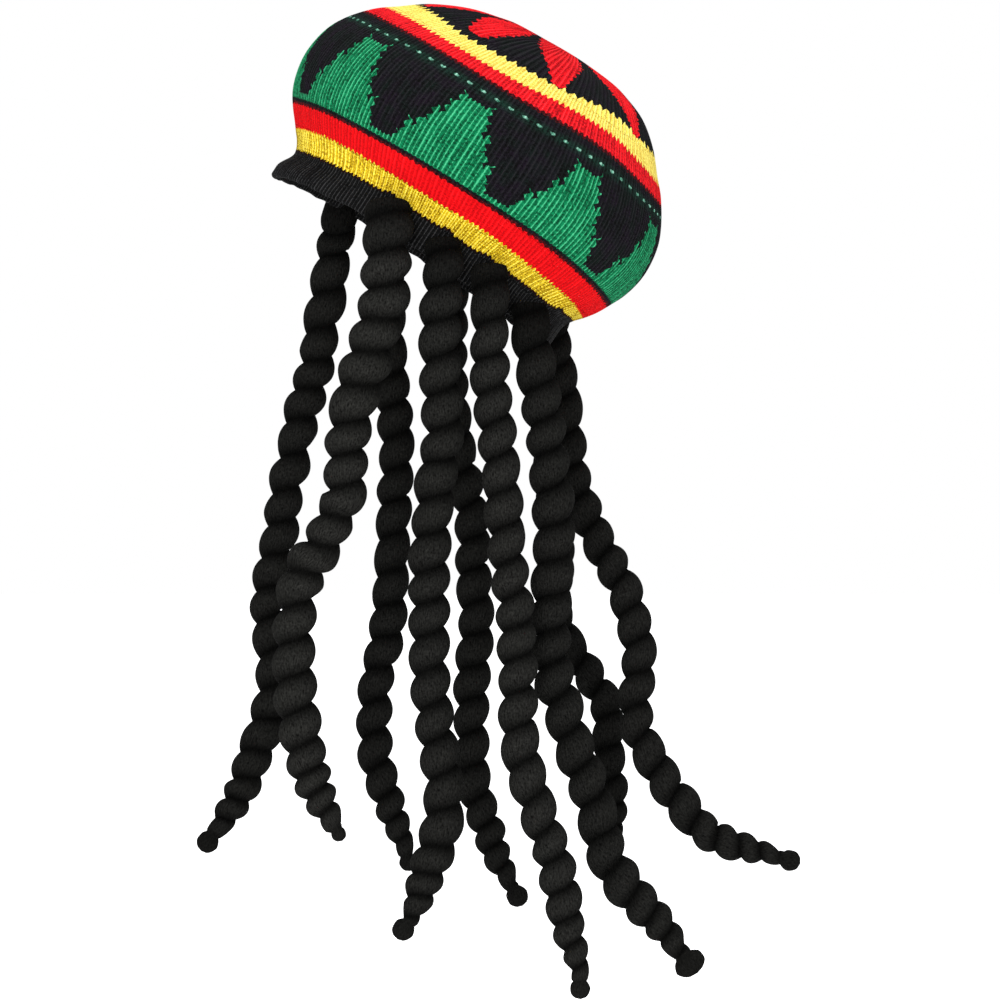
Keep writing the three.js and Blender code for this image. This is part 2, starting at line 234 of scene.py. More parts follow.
def lock_rings(points, style, seed):
    """Rings of points round a lock, its groove cut in, with how far each point is out of the groove."""
    line, marks = curve_through(points, RING_STEP)
    across, over = carried_frames(line)
    ball = style["knot"]
    body = marks[-1] - 2 * ball
    share = marks / body
    half = np.interp(share, TAPER_SHARE, TAPER_HALF) * style["half"]
    half = half * (1 + (style["top"] - 1) * (1 - smooth(*TOP_FADES, marks)))
    half = half * (1 + UNEVEN * slow_noise(len(marks), UNEVEN_EVERY / RING_STEP, seed))

    turn = np.linspace(0, 2 * math.pi, RING_SIDES, endpoint=False)
    bump, depth = groove(marks, share, body, style, turn, seed)
    radius = half[:, None] * (BUMP_HEIGHT - depth * (1 - bump))
    knob = knot_ball(marks, marks[-1] - ball, ball, style["wide"], turn)
    neck = radius * (1 - smooth(body, body + 0.9 * ball, marks))[:, None]
    radius = np.where(marks[:, None] > body - 1, np.maximum(knob, neck), radius)
    radius[0] = 0
    radius[-1] = 0

    outer = np.sin(turn) * -np.sign(points[0][1]) > 0
    flat = np.where(outer[None, :], 1 - FLATTER * (1 - smooth(*FLAT_FADES, marks))[:, None], 1)[..., None]
    sideways = np.cos(turn)[None, :, None] * across[:, None, :]
    outwards = flat * np.sin(turn)[None, :, None] * over[:, None, :]
    rings = line[:, None, :] + radius[..., None] * (sideways + outwards)
    return line, marks, rings, np.where(marks[:, None] > body, KNOT_LIGHT, bump)


def grid_mesh(name, rings, uvs, closed=False, extra=None):
    """A mesh from rings of points (rows, columns, 3) in mm. uvs is (rows, columns + 1, 2)."""
    rows, columns = rings.shape[:2]
    index = np.arange(rows * columns).reshape(rows, columns)
    if closed:
        index = np.vstack([index, index[:1]])
        uvs = np.concatenate([uvs, uvs[:1]])
    right = np.roll(index, -1, axis=1)
    quads = np.stack([index[:-1], right[:-1], right[1:], index[1:]], -1).reshape(-1, 4)
    corner = np.stack([uvs[:-1, :-1], uvs[:-1, 1:], uvs[1:, 1:], uvs[1:, :-1]], 2).reshape(-1, 2)
    mesh = bpy.data.meshes.new(name)
    mesh.from_pydata((rings.reshape(-1, 3) * MM).tolist(), [], quads.tolist())
    mesh.uv_layers.new(name="knit").data.foreach_set("uv", corner.ravel())
    for key, values in (extra or {}).items():
        mesh.attributes.new(key, "FLOAT", "POINT").data.foreach_set("value", values.ravel())
    mesh.polygons.foreach_set("use_smooth", [True] * len(mesh.polygons))
    mesh.update()
    piece = bpy.data.objects.new(name, mesh)
    bpy.context.scene.collection.objects.link(piece)
    return piece


# %% [markdown]
# Each lock is one mesh. Those of the far side reach further up inside the band, out of sight. The roots
# get painted shade, standing for the shade of the band.

# %% Build the locks
ROOT_REACH = (2, -1.5, 13)  # mm from a far-side lock's first point to the one added before it
ROOT_SHADE, SHADE_FADES = 0.45, (4, 48)  # painted shade: how light the yarn is painted at the root, in the band's shade, mm where that ends
SEEDS_APART = 20
locks = {}
for number, (name, points) in enumerate(ROUTES.items()):
    style = LOCK_STYLE[name]
    if points[0][1] > 0:
        points = [tuple(p + reach for p, reach in zip(points[0], ROOT_REACH))] + points
    line, marks, rings, bump = lock_rings(points, style, SEEDS_APART * number)
    around = np.linspace(0, 2 * math.pi * style["half"], RING_SIDES + 1)
    uvs = np.stack(np.broadcast_arrays(around[None, :], marks[:, None]), -1)
    painted_lightness = style["shade"] * (ROOT_SHADE + (1 - ROOT_SHADE) * smooth(*SHADE_FADES, marks))
    shade = np.broadcast_to(painted_lightness[:, None], bump.shape)
    piece = grid_mesh("twisted_" + name, rings, uvs, extra={"crest": bump, "shade": shade})
    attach(piece, "root")
    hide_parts(name)
    locks[name] = piece
    print(name, round(marks[-1]), "mm long,", len(piece.data.polygons), "faces")

# %% [markdown]
# ## The form of the cap
# The cap is worked out upright and then tipped back. Its outline is one smooth curve from the lower
# edge up and in to the dimple. A ring of that outline is oval, arches up over the ears, and lies a
# little back or forward of the band.

# %% Form of the cap
TIP_BACK = math.radians(33.3)
SIDE_TO_SIDE = 0.92
SIDE_LIFT, LIFT_FADES_AT = 5, 126
BELLY_FORWARD, SHOULDER, FULLEST = 1.7, 86.3, 116.4
CROWN_BACK, CROWN_BACK_AT, DIMPLE_FORWARD = 9, 40, 19.3
CREST_LIFT, CREST_HALF = 1.4, 20
PEAK_FLARE, PEAK_HALF_ANGLE, PEAK_FADES_FROM = 5.2, math.radians(66), 6.8
PEAK_TOP, BELLY_FROM, BELLY_FULL, CREST_FROM, CROWN_TOP = 19.5, 31.6, 48.9, 126.5, 151
BAND_TOP, WELT_TOP, RED_BAND_TOP = 21.5, 35.5, 53  # mm of fabric up from the lower edge
PANEL_TOP, UPPER_RED_TOP, UPPER_YELLOW_TOP = 121.5, 134, 149.5
OUTLINE = [  # height up the cap, half its length there
    (0.0, 91.2), (10.0, 91.4), (19.5, 91.8), (25.5, 94.6), (31.6, 99.6), (42.0, 107.2),
    (54.6, 113.4), (70.0, 116.4), (86.3, 114.6), (99.0, 109.2), (112.7, 99.2), (122.0, 89.2),
    (133.4, 76.6), (143.2, 60.2), (148.4, 44.6), (150.9, 33.0), (150.8, 17.0), (148.0, 0.0),
]
OUTLINE_STEP = 0.4
outline, arc = curve_through([(reach, height, 0) for height, reach in OUTLINE], OUTLINE_STEP)
slope = np.gradient(outline, axis=0)
slope /= np.linalg.norm(slope, axis=1, keepdims=True)


def at_arc(where, column):
    return np.interp(where, arc, column)


def set_back(reach, height):
    belly = -BELLY_FORWARD * smooth(BELLY_FROM, BELLY_FULL, height)
    crown = CROWN_BACK * (1 - smooth(CROWN_BACK_AT, FULLEST, reach))
    dimple = DIMPLE_FORWARD * (1 - smooth(0, CROWN_BACK_AT * 0.9, reach))
    return belly + np.where(height < SHOULDER, 0, crown - dimple)


def cap_points(angle, reach, height):
    """Points in mm, in the part's frame. The angle runs from the near side round to the back."""
    sideways, forward = -np.cos(angle), -np.sin(angle)
    facing = smooth(math.cos(PEAK_HALF_ANGLE), 1, forward)
    flare = PEAK_FLARE * facing * (1 - smooth(PEAK_FADES_FROM, PEAK_TOP, height))
    x = -forward * (reach + flare) + set_back(reach, height)
    y = sideways * (reach + flare) * SIDE_TO_SIDE
    arch = SIDE_LIFT * sideways ** 2 * (1 - smooth(0, LIFT_FADES_AT, height))
    crest = CREST_LIFT * smooth(CREST_FROM, CROWN_TOP, height) * smooth(-CREST_HALF, CREST_HALF, x)
    z = height + arch + crest
    return np.stack([x * math.cos(TIP_BACK) + z * math.sin(TIP_BACK), y,
                     -x * math.sin(TIP_BACK) + z * math.cos(TIP_BACK)], -1)


print("outline", round(arc[-1]), "mm long")

# %% [markdown]
# ## Wales and courses
# The knit has 243 columns of stitches, or wales, with four points of the mesh to each. Its rows, the
# courses, don't run level on a soft cap. The table says how far above the level line a course runs, at
# angles from the front (-90) over the near side (0) to the back (90), and the far side is its mirror.

# %% Wales and courses
WALES, PER_WALE, REPEAT = 243, 4, 27
FIRST_CENTRE = math.radians(-7.7)
WALL, ROW = 2.6, 1.25
wale = np.arange(WALES * PER_WALE) / PER_WALE
angle = FIRST_CENTRE + wale / REPEAT * math.radians(40)
DRIFT_AT = (-90, -69, -51, -33, -15, 0, 7, 16, 29, 42, 60, 73, 90)
COURSE_DRIFT = {  # mm of fabric: drift in mm at each of those angles
    0: (0, 0, 0, 0, 0, 0, 0, 0, 0, 0, 0, 0, 0),
    21.5: (-0.5, -0.5, 0.2, 0.8, 1.0, 1.0, 1.0, 1.3, 2.8, 3.2, 2.8, 6.0, 6.0),
    35.5: (-3.0, -1.4, 0.8, 1.2, 0.3, 0.8, 2.0, 3.0, 2.2, 1.2, 0.5, -2.0, -4.0),
    53: (-5.0, -4.4, -2.5, -1.5, -0.5, 0.4, 0.8, 1.5, 2.2, 1.8, -0.3, -2.2, -4.0),
    104.8: (-1.0, 0.0, 1.0, 0.9, 1.2, 2.0, 2.4, 3.6, 5.2, 4.8, 2.6, 1.9, 1.0),
    110.5: (-1.0, -0.5, -0.2, 1.5, 1.9, 2.1, 2.9, 4.0, 5.7, 6.5, 3.2, 2.0, 1.0),
    121.5: (-3.0, -2.7, -2.4, -1.2, -0.6, 0.3, 1.6, 3.5, 5.5, 4.7, 0.5, -2.0, -3.0),
    134: (-3.5, -3.0, -2.8, -2.8, -2.2, 0.5, 3.4, 6.3, 7.9, 8.2, 2.5, -1.0, -3.0),
    149.5: (-3.0, -3.0, -3.7, -7.0, -4.5, -2.0, -1.0, 1.5, 7.0, 8.9, 4.5, 2.0, 0.0),
    175: (-1.5, -1.5, -1.8, -3.5, -2.2, -1.0, -0.5, 0.8, 3.5, 4.5, 2.2, 1.0, 0.0),
    200: (0, 0, 0, 0, 0, 0, 0, 0, 0, 0, 0, 0, 0),
    300: (0, 0, 0, 0, 0, 0, 0, 0, 0, 0, 0, 0, 0),
}
LOCK_HUMPS = [(-18.5, 2.6, 2.4), (5.5, 2.4, 2.0), (22, 3, 1.8), (64.5, 3, 2.5)]  # angle, half width, mm
DRIFT_SMOOTH = 18  # columns on each side that a drift is averaged over


def smoothed_round(values, half_width):
    """A closed run of numbers averaged with its neighbours."""
    window = np.hanning(2 * half_width + 3)
    wrapped = np.r_[values[-half_width - 1:], values, values[:half_width + 1]]
    return np.convolve(wrapped, window / window.sum(), "valid")


level = np.degrees(np.arcsin(np.sin(angle)))
course_up = np.array(list(COURSE_DRIFT))
course_drift = np.array([smoothed_round(np.interp(level, DRIFT_AT, row), DRIFT_SMOOTH)
                         for row in COURSE_DRIFT.values()])
for centre, half_width, rise in LOCK_HUMPS:
    course_drift[1] += rise * np.exp(-((level - centre) / half_width) ** 2)


def fabric_at(where):
    """How far up the fabric each place along the outline is, with a column for each point round."""
    where = np.asarray(where, float)
    return np.stack([np.interp(where, course_up + drift, course_up) for drift in course_drift.T], 1)


print("courses drift by up to", course_drift.max(), "mm")

# %% [markdown]
# ## Knit pieces
# Each column of stitches stands up round from the dark valley beside it. The yellow roll is knitted
# looser, with 7 threads to 9 wales, and the crown has 5 for 9, as its wales are joined towards the top.
# The texture coordinates are the number of the wale, and millimetres of fabric.

# %% Knit pieces
ROLL_THREADS, CROWN_THREADS = 7 / 9, 5 / 9
RELIEF_AT = [0, 17, 23, 33, 37, 52, 56, 118, 123, 149, 150, 185, 236]
RELIEF_MM = [1.1, 1.1, 1.1, 1.1, 0.3, 0.3, 0.5, 0.5, 0.3, 0.3, 0.8, 0.6, 0.0]
WALE_ROUND = 0.8  # 1 is a sine over a wale, less is fuller
INSIDE_ROW = 6  # mm between rows of the plain inside


def ring_points(where, out):
    """One ring for each row: where along the outline, and how far out of it. Both may vary round."""
    where, out = np.asarray(where, float), np.asarray(out, float)
    where, out = (v if v.ndim == 2 else v[:, None] for v in (where, out))
    reach = at_arc(where, outline[:, 0]) + out * at_arc(where, slope[:, 1])
    height = at_arc(where, outline[:, 1]) - out * at_arc(where, slope[:, 0])
    return cap_points(angle[None, :], np.maximum(reach, 0.02), height)


def knit_uv(where):
    up = fabric_at(where)
    up = np.concatenate([up, up[:, :1]], 1)
    across = np.arange(WALES * PER_WALE + 1) / PER_WALE
    return np.stack(np.broadcast_arrays(across[None, :], up), -1)


def stitched(where, threads):
    depth = np.interp(where, RELIEF_AT, RELIEF_MM)
    return depth[:, None] * (np.abs(np.sin(math.pi * wale * threads)) ** WALE_ROUND - 1)[None, :]


def knit_piece(name, low, high, threads, node):
    outside = np.linspace(low, high, max(3, int((high - low) / ROW) + 1))
    inside = np.linspace(high, low, max(2, int((high - low) / INSIDE_ROW) + 1))
    rings = np.concatenate([ring_points(outside, stitched(outside, threads)),
                            ring_points(inside, np.full(len(inside), -WALL))])
    piece = grid_mesh(name, rings, knit_uv(np.concatenate([outside, inside])), closed=True)
    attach(piece, "root")
    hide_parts(node)
    print(name, len(piece.data.polygons), "faces")
    return piece


knit = {}
for name, low, high, threads, node, slot in (
        ("yellow_roll", BAND_TOP, WELT_TOP, ROLL_THREADS, "yellow_welt", "yellow_knit"),
        ("red_ring", WELT_TOP, RED_BAND_TOP, 1, "red_band", "red_knit"),
        ("zigzag_side", RED_BAND_TOP, PANEL_TOP, 1, "side_panel", "zigzag_knit"),
        ("red_stripe", PANEL_TOP, UPPER_RED_TOP, 1, "upper_red_stripe", "red_knit"),
        ("yellow_stripe", UPPER_RED_TOP, UPPER_YELLOW_TOP, 1, "upper_yellow_stripe", "pale_yellow_knit"),
        ("petal_crown", UPPER_YELLOW_TOP, arc[-1], CROWN_THREADS, "crown_top", "petal_knit")):
    knit[name] = knit_piece(name, low, high, threads, node)

# %% [markdown]
# The band is a 1x1 rib folded double, so it is thicker, and its lower edge is a soft roll. That edge
# runs higher over the sides and the back than at the forehead, and is a little uneven.

# %% Ribbed band
HEM, HEM_WALL = 1.5, 4.0  # half height of the roll, thickness
RAISED_AT, RAISED_MM = (-90, -82, -62, -35, -10, 90), (0, 0.6, 3.0, 4.8, 4.4, 4.4)
EDGE_UNEVEN, EDGE_EVERY, EDGE_SMOOTH, EDGE_SEED = 0.55, 10, 3, 5  # mm, then columns of points
OUTSIDE_ROWS, INSIDE_ROWS, ROLL_ROWS = 16, 5, 7
raised = smoothed_round(np.interp(level, RAISED_AT, RAISED_MM), DRIFT_SMOOTH)
raised += smoothed_round(EDGE_UNEVEN * slow_noise(len(level), EDGE_EVERY, EDGE_SEED), EDGE_SMOOTH)
turns = np.linspace(-math.pi, 0, ROLL_ROWS + 2)[1:-1]
heights = np.r_[HEM + HEM * np.sin(turns), np.linspace(HEM, BAND_TOP, OUTSIDE_ROWS),
                np.linspace(BAND_TOP, HEM, INSIDE_ROWS)]
out = np.r_[HEM_WALL / 2 * (np.cos(turns) - 1), np.zeros(OUTSIDE_ROWS), np.full(INSIDE_ROWS, -HEM_WALL)]
ribs = np.r_[0.5 + 0.5 * np.cos(turns), np.ones(OUTSIDE_ROWS), np.zeros(INSIDE_ROWS)]
places = heights[:, None] + raised[None, :] * (1 - heights / BAND_TOP)[:, None]
rings = ring_points(places, stitched(heights, 1) * ribs[:, None] + out[:, None])
knit["rib_roll"] = grid_mesh("rib_roll", rings, knit_uv(heights), closed=True)
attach(knit["rib_roll"], "root")
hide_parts("rib_band")
print("rib_roll", len(knit["rib_roll"].data.polygons), "faces")

# %% [markdown]
# ## Yarn materials
# A tiny notation keeps the node sums readable: `sum_of(tree, "ADD", a, b)` adds one Math node and
# gives its output.

# %% Node helpers
def sum_of(tree, operation, *values):
    node = tree.nodes.new("ShaderNodeMath")
    node.operation = operation
    for socket, value in zip(node.inputs, values):
        if isinstance(value, (int, float)):
            socket.default_value = value
        else:
            tree.links.new(value, socket)
    return node.outputs[0]


def mixed(tree, share, low, high):
    """Colour low where share is 0 and high where it is 1. A colour is a hex string or a socket."""
    node = tree.nodes.new("ShaderNodeMix")
    node.data_type = "RGBA"
    for socket, value in ((node.inputs[0], share), (node.inputs[6], low), (node.inputs[7], high)):
        if isinstance(value, str):
            socket.default_value = linear(value)
        elif isinstance(value, (int, float)):
            socket.default_value = value
        else:
            tree.links.new(value, socket)
    return node.outputs[2]


def new_yarn(name, roughness, specular):
    material = bpy.data.materials.new(name)
    material.use_nodes = True
    tree = material.node_tree
    shader = tree.nodes["Principled BSDF"]
    shader.inputs["Roughness"].default_value = roughness
    shader.inputs["Specular IOR Level"].default_value = specular
    uv = tree.nodes.new("ShaderNodeUVMap")
    uv.uv_map = "knit"
    parts = tree.nodes.new("ShaderNodeSeparateXYZ")
    tree.links.new(uv.outputs[0], parts.inputs[0])
    return material, tree, shader, parts.outputs[0], parts.outputs[1]


def noise(tree, across, up, across_scale, up_scale, detail=2.0):
    """Noise over the fabric, with its own grain across and up, in cells per unit."""
    vector = tree.nodes.new("ShaderNodeCombineXYZ")
    tree.links.new(sum_of(tree, "MULTIPLY", across, across_scale), vector.inputs[0])
    tree.links.new(sum_of(tree, "MULTIPLY", up, up_scale), vector.inputs[1])
    node = tree.nodes.new("ShaderNodeTexNoise")
    node.inputs["Scale"].default_value = 1.0
    node.inputs["Detail"].default_value = detail
    tree.links.new(vector.outputs[0], node.inputs["Vector"])
    return node.outputs[0]


def swing(tree, value, strength):
    """A value round 0.5, such as noise, made to swing round 0 by its strength."""
    return sum_of(tree, "MULTIPLY", sum_of(tree, "SUBTRACT", value, 0.5), strength)


def bumped(tree, shader, height, millimetres):
    node = tree.nodes.new("ShaderNodeBump")
    node.inputs["Distance"].default_value = millimetres * MM
    node.inputs["Strength"].default_value = 1.0
    tree.links.new(height, node.inputs["Height"])
    tree.links.new(node.outputs[0], shader.inputs["Normal"])


# %% [markdown]
# ## Knit acrylic
# Each yarn has three tones: painted shade between the stitches, its colour on them, a painted highlight on
# their tops. The colours are a chart: each row says from which height its yarn takes over, and how wide and
# how long its teeth are, because a thread end of one colour always pokes into the next.

# %% Knit acrylic: yarns and chart
COURSE = 1.8  # height of a stitch
STITCH_LEAN = 0.8  # stitches by which a stitch's edge lies below its middle
ROW_RELIEF, RUNG_HEIGHT = 0.45, 0.8  # share of the relief that a stitch's ends lose, height of its crossbar
YARNS = {  # painted shade between stitches, the yarn's colour on them, painted highlight on their tops
    "black": ("030303", "121113", "1d1c1f"),
    "black rib": ("040404", "121213", "363637"),
    "shaded red": ("180204", "4a080e", "601018"),
    "brown": ("100300", "280c08", "38140c"),
    "red": ("b80209", "e0060e", "f4141c"),
    "upper red": ("94040e", "f2101c", "fa2c34"),
    "yellow": ("8e6800", "f4d020", "ffee66"),
    "pale yellow": ("d6ac3c", "fdec6c", "fff690"),
    "green": ("003820", "067a4c", "46b480"),
}
CHART = [  # mm of fabric, yarn, wales in a tooth, how far its middle reaches down
    (20.6, "brown", 9 / 7, 1.6),
    (21.8, "yellow", 9 / 7, 1.2),
    (35.5, "red", 9 / 7, -2.2),
    (51.9, "shaded red", 1.5, 1.0),
    (53.6, "black", 1.0, 0.5),
    (120.0, "shaded red", 1.5, 1.6),
    (122.4, "upper red", 1.5, 1.6),
    (134, "pale yellow", 1.6, -3.2),
    (149.5, "black", 3.0, -4.0),
]
GREEN_FROM = 55.3
FLAME_TOP = [(0, 102), (2.4, 101.5), (3.4, 105.6), (3.5, 95.3), (4.3, 95), (4.4, 84.5), (6.1, 89),
             (6.2, 78), (7.6, 77.5), (7.7, 69.8), (9.4, 75), (9.5, 64.4), (10.3, 64), (10.45, 58.5),
             (13.5, 58)]  # wales from a flame's middle, height of its top there
FLAME_JAG, FLAME_JAG_WALES = 5.0, 1.9  # mm from step to step of a flame's side, how far it goes in and out
DASH_UP, DASH_APART, DASH_SHIFT = 110.5, 27 / 8, 0.7  # mm of fabric, then wales
DASH_HALF_WIDE, DASH_HALF_HIGH, DASH_SOFT = 0.75, 1.15, 0.35  # wales, mm, share of it that is full
DIM_HALF, DIM_FULL, DIM_SHARE = 5.0, 1.0, 0.45  # mm from the line, how strong the dim green is
DASH_TONES = ("1c6048", "7ab8a0", "a0d0bc")


def tooth(tree, across, wales, depth):
    """A ragged edge: up and down by depth once in so many wales, furthest in the middle of a wale."""
    saw = sum_of(tree, "PINGPONG", sum_of(tree, "DIVIDE", across, wales), 0.5)
    return sum_of(tree, "MULTIPLY", sum_of(tree, "SUBTRACT", saw, 0.25), 2 * depth)


def eased(tree, value, from_low, from_high, to_low, to_high):
    """A value taken from one range to another by a straight line, and held at its ends."""
    node = tree.nodes.new("ShaderNodeMapRange")
    for socket, number in zip(node.inputs[1:5], (from_low, from_high, to_low, to_high)):
        socket.default_value = number
    tree.links.new(value, node.inputs[0])
    return node.outputs[0]


def line_through(tree, value, table):
    """A value looked up in a short table by straight lines, as a sum of Map Range nodes."""
    result = 0.0
    for (low, a), (high, b) in zip(table[:-1], table[1:]):
        result = sum_of(tree, "ADD", result, eased(tree, value, low, high, 0.0, b - a))
    return sum_of(tree, "ADD", result, table[0][1])


def stitches(tree, across, up, threads):
    """How far a place is from the middle of its wale (0 to 1), and how high the yarn stands there."""
    column = sum_of(tree, "FRACT", sum_of(tree, "MULTIPLY", across, threads))
    off = sum_of(tree, "MULTIPLY", sum_of(tree, "ABSOLUTE", sum_of(tree, "SUBTRACT", column, 0.5)), 2.0)
    lag = sum_of(tree, "MULTIPLY", off, STITCH_LEAN)
    climb = sum_of(tree, "SUBTRACT", sum_of(tree, "DIVIDE", up, COURSE), lag)
    along = sum_of(tree, "SINE", sum_of(tree, "MULTIPLY", sum_of(tree, "FRACT", climb), math.pi))
    ridge = sum_of(tree, "SUBTRACT", 1.0, sum_of(tree, "POWER", off, 2.0))
    beaded = sum_of(tree, "ADD", sum_of(tree, "MULTIPLY", along, ROW_RELIEF), 1 - ROW_RELIEF)
    high = sum_of(tree, "MULTIPLY", ridge, beaded)
    rung = sum_of(tree, "MULTIPLY", sum_of(tree, "POWER", off, 3.0), sum_of(tree, "SUBTRACT", 1.0, along))
    return off, sum_of(tree, "ADD", high, sum_of(tree, "MULTIPLY", rung, RUNG_HEIGHT))


def both_of(tree, *masks):
    result = masks[0]
    for mask in masks[1:]:
        result = sum_of(tree, "MULTIPLY", result, mask)
    return result


def flames(tree, across, up, level):
    """Where the side's green yarn shows: nine stepped flames on a thin strip."""
    place = sum_of(tree, "ABSOLUTE", sum_of(tree, "WRAP", across, REPEAT / 2, -REPEAT / 2))
    jag = sum_of(tree, "PINGPONG", sum_of(tree, "DIVIDE", up, FLAME_JAG), 0.5)
    jag = sum_of(tree, "MULTIPLY", sum_of(tree, "SUBTRACT", jag, 0.25), FLAME_JAG_WALES)
    place = sum_of(tree, "ADD", place, jag)
    top = line_through(tree, place, FLAME_TOP)
    bottom = sum_of(tree, "ADD", tooth(tree, across, 1.0, 1.0), GREEN_FROM)
    return both_of(tree, sum_of(tree, "LESS_THAN", level, top), sum_of(tree, "GREATER_THAN", up, bottom))


def dashes(tree, across, up):
    """A dashed line above the flames: how strongly a dash shows, and the dim green band round it."""
    place = sum_of(tree, "ABSOLUTE", sum_of(tree, "WRAP", sum_of(tree, "ADD", across, DASH_SHIFT),
                                            DASH_APART / 2, -DASH_APART / 2))
    high = sum_of(tree, "ABSOLUTE", sum_of(tree, "SUBTRACT", up, DASH_UP))
    spot = sum_of(tree, "ADD", sum_of(tree, "POWER", sum_of(tree, "DIVIDE", place, DASH_HALF_WIDE), 2.0),
                  sum_of(tree, "POWER", sum_of(tree, "DIVIDE", high, DASH_HALF_HIGH), 2.0))
    return eased(tree, spot, 1.0, DASH_SOFT, 0.0, 1.0), eased(tree, high, DIM_HALF, DIM_FULL, 0.0, DIM_SHARE)


# %% [markdown]
# The petals have a map of their own: the angle round the crown in petals, and the distance from its
# middle as a share of the way to the yellow stripe.

# %% Knit acrylic: petals
PETALS, PETAL_CENTRE, PETAL_FROM = 8, math.radians(17.5), -8.0
PETAL_REACH = 75  # mm from the middle of the petals to the yellow stripe
PETAL_GRAIN = (0.35, 0.22)
PETAL_TOOTH, PETAL_TOOTH_MM, PETAL_RAGGED = 5.0, 2.4, 5.0  # mm from tooth to tooth, its depth, random part
PETAL_SHAPE = [(0.0, 0.0), (0.10, 3.0), (0.28, 6.8), (0.45, 10.5), (0.60, 13.0), (0.70, 13.0), (0.82, 10.0),
               (0.93, 5.5), (1.0, 3.0), (1.02, 0.0)]  # share of the way out, half width in mm


def plan_place(points):
    """Angle and distance of points in mm, seen from above the crown, from the petals' middle."""
    x = points[..., 0] * math.cos(TIP_BACK) - points[..., 2] * math.sin(TIP_BACK) - PETAL_FROM
    return np.arctan2(x, -points[..., 1]), np.hypot(x, points[..., 1])


def add_petal_map(mesh):
    places = np.empty(len(mesh.vertices) * 3)
    mesh.vertices.foreach_get("co", places)
    turn, far = plan_place(places.reshape(-1, 3) / MM)
    stripe = course_up.tolist().index(UPPER_YELLOW_TOP)
    edges = [ring_points([UPPER_YELLOW_TOP + drift], [0.0])[0, k]
             for k, drift in enumerate(course_drift[stripe])]
    edge_turn, edge_far = plan_place(np.array(edges))
    share = far / np.interp(turn, edge_turn, edge_far, period=2 * math.pi)
    corners = np.empty(len(mesh.loops), dtype=np.int32)
    mesh.loops.foreach_get("vertex_index", corners)
    petal = ((turn - PETAL_CENTRE) / (2 * math.pi) * PETALS)[corners].reshape(-1, 4)
    petal += PETALS * ((petal.max(1, keepdims=True) - petal) > PETALS / 2)
    mapped = np.stack([petal.ravel(), share[corners]], -1)
    mesh.uv_layers.new(name="petals").data.foreach_set("uv", mapped.ravel())


def petals(tree, across, up):
    uv = tree.nodes.new("ShaderNodeUVMap")
    uv.uv_map = "petals"
    parts = tree.nodes.new("ShaderNodeSeparateXYZ")
    tree.links.new(uv.outputs[0], parts.inputs[0])
    turn, share = parts.outputs[0], parts.outputs[1]
    away = both_of(tree, sum_of(tree, "ABSOLUTE", sum_of(tree, "WRAP", turn, 0.5, -0.5)), share,
                   PETAL_REACH * math.radians(360 / PETALS))
    wide = line_through(tree, share, PETAL_SHAPE)
    ragged = sum_of(tree, "ADD", tooth(tree, up, PETAL_TOOTH, PETAL_TOOTH_MM),
                    swing(tree, noise(tree, across, up, *PETAL_GRAIN), PETAL_RAGGED))
    return both_of(tree, sum_of(tree, "LESS_THAN", away, sum_of(tree, "ADD", wide, ragged)),
                   sum_of(tree, "GREATER_THAN", wide, 0.8))


# %% [markdown]
# The chart's tones are mixed row by row from the lower edge up. Then each place takes its painted shade,
# its colour or its painted highlight by how high the yarn stands there, with flecks of fibre and uneven
# strands.

# %% Knit acrylic: tones and light
# A grain is how many cells of noise there are in a wale and in a mm of fabric, and its detail
KNIT_ROUGH, KNIT_GLOSS = 0.9, 0.10
EDGE_GRAIN, DYE_GRAIN, FIBRE_GRAIN, STRAND_GRAIN_UP = (0.8, 0.0), (0.3, 0.1), (1.9, 0.65, 3.0), (0.05, 1.0)
EDGE_WANDER = 3.4  # mm of fabric from side to side
DYE_WANDER, DYE_TONES = 4.0, ("170f1b", "0c1613")  # the black knit is now purple, now green
DIM_GREEN = "0c3c2c"
STRAND_UNEVEN, LIT_BY_HEIGHT, LIT_ALWAYS = 1.6, 0.75, 0.15
BRIGHT_HALF, BRIGHT_SHARP, BRIGHT_UNEVEN = 0.30, 3.5, 1.5  # half width of the painted highlight along the middle of a wale
FIBRE_RELIEF, STITCH_RELIEF_MM = 0.9, 0.6


def recoloured(tree, share, tones, new_tones):
    return [mixed(tree, share, tone, new) for tone, new in zip(tones, new_tones)]


def charted_tones(tree, across, up, off, with_petals):
    """The painted shade, yarn colour and painted highlight that the chart, the flames, the dashes or the
    petals put at a place.
    """
    wander = swing(tree, noise(tree, across, up, *EDGE_GRAIN), EDGE_WANDER)
    wandering = sum_of(tree, "ADD", up, wander)
    dye = sum_of(tree, "ADD", swing(tree, noise(tree, across, up, *DYE_GRAIN), DYE_WANDER), 0.5)
    shade_tone, middle, highlight_tone = YARNS["black"]
    dyed = dict(YARNS, black=(shade_tone, mixed(tree, dye, *DYE_TONES), highlight_tone))
    tones = YARNS["black rib"]
    for start, yarn, wales, depth in CHART:
        place = sum_of(tree, "ADD", wandering, tooth(tree, across, wales, depth))
        tones = recoloured(tree, sum_of(tree, "GREATER_THAN", place, start), tones, dyed[yarn])
    level = sum_of(tree, "ADD", up, swing(tree, off, 1.0))
    green = flames(tree, across, up, sum_of(tree, "ADD", level, wander))
    tones = recoloured(tree, green, tones, YARNS["green"])
    dash, dim = dashes(tree, across, up)
    tones = tones[:1] + recoloured(tree, dim, tones[1:], (DIM_GREEN, DIM_GREEN))
    tones = recoloured(tree, dash, tones, DASH_TONES)
    if with_petals:
        tones = recoloured(tree, petals(tree, across, up), tones, YARNS["upper red"])
    return tones


# %% [markdown]
# One function makes the three versions: plain, with the roll's wider threads, and with petals.

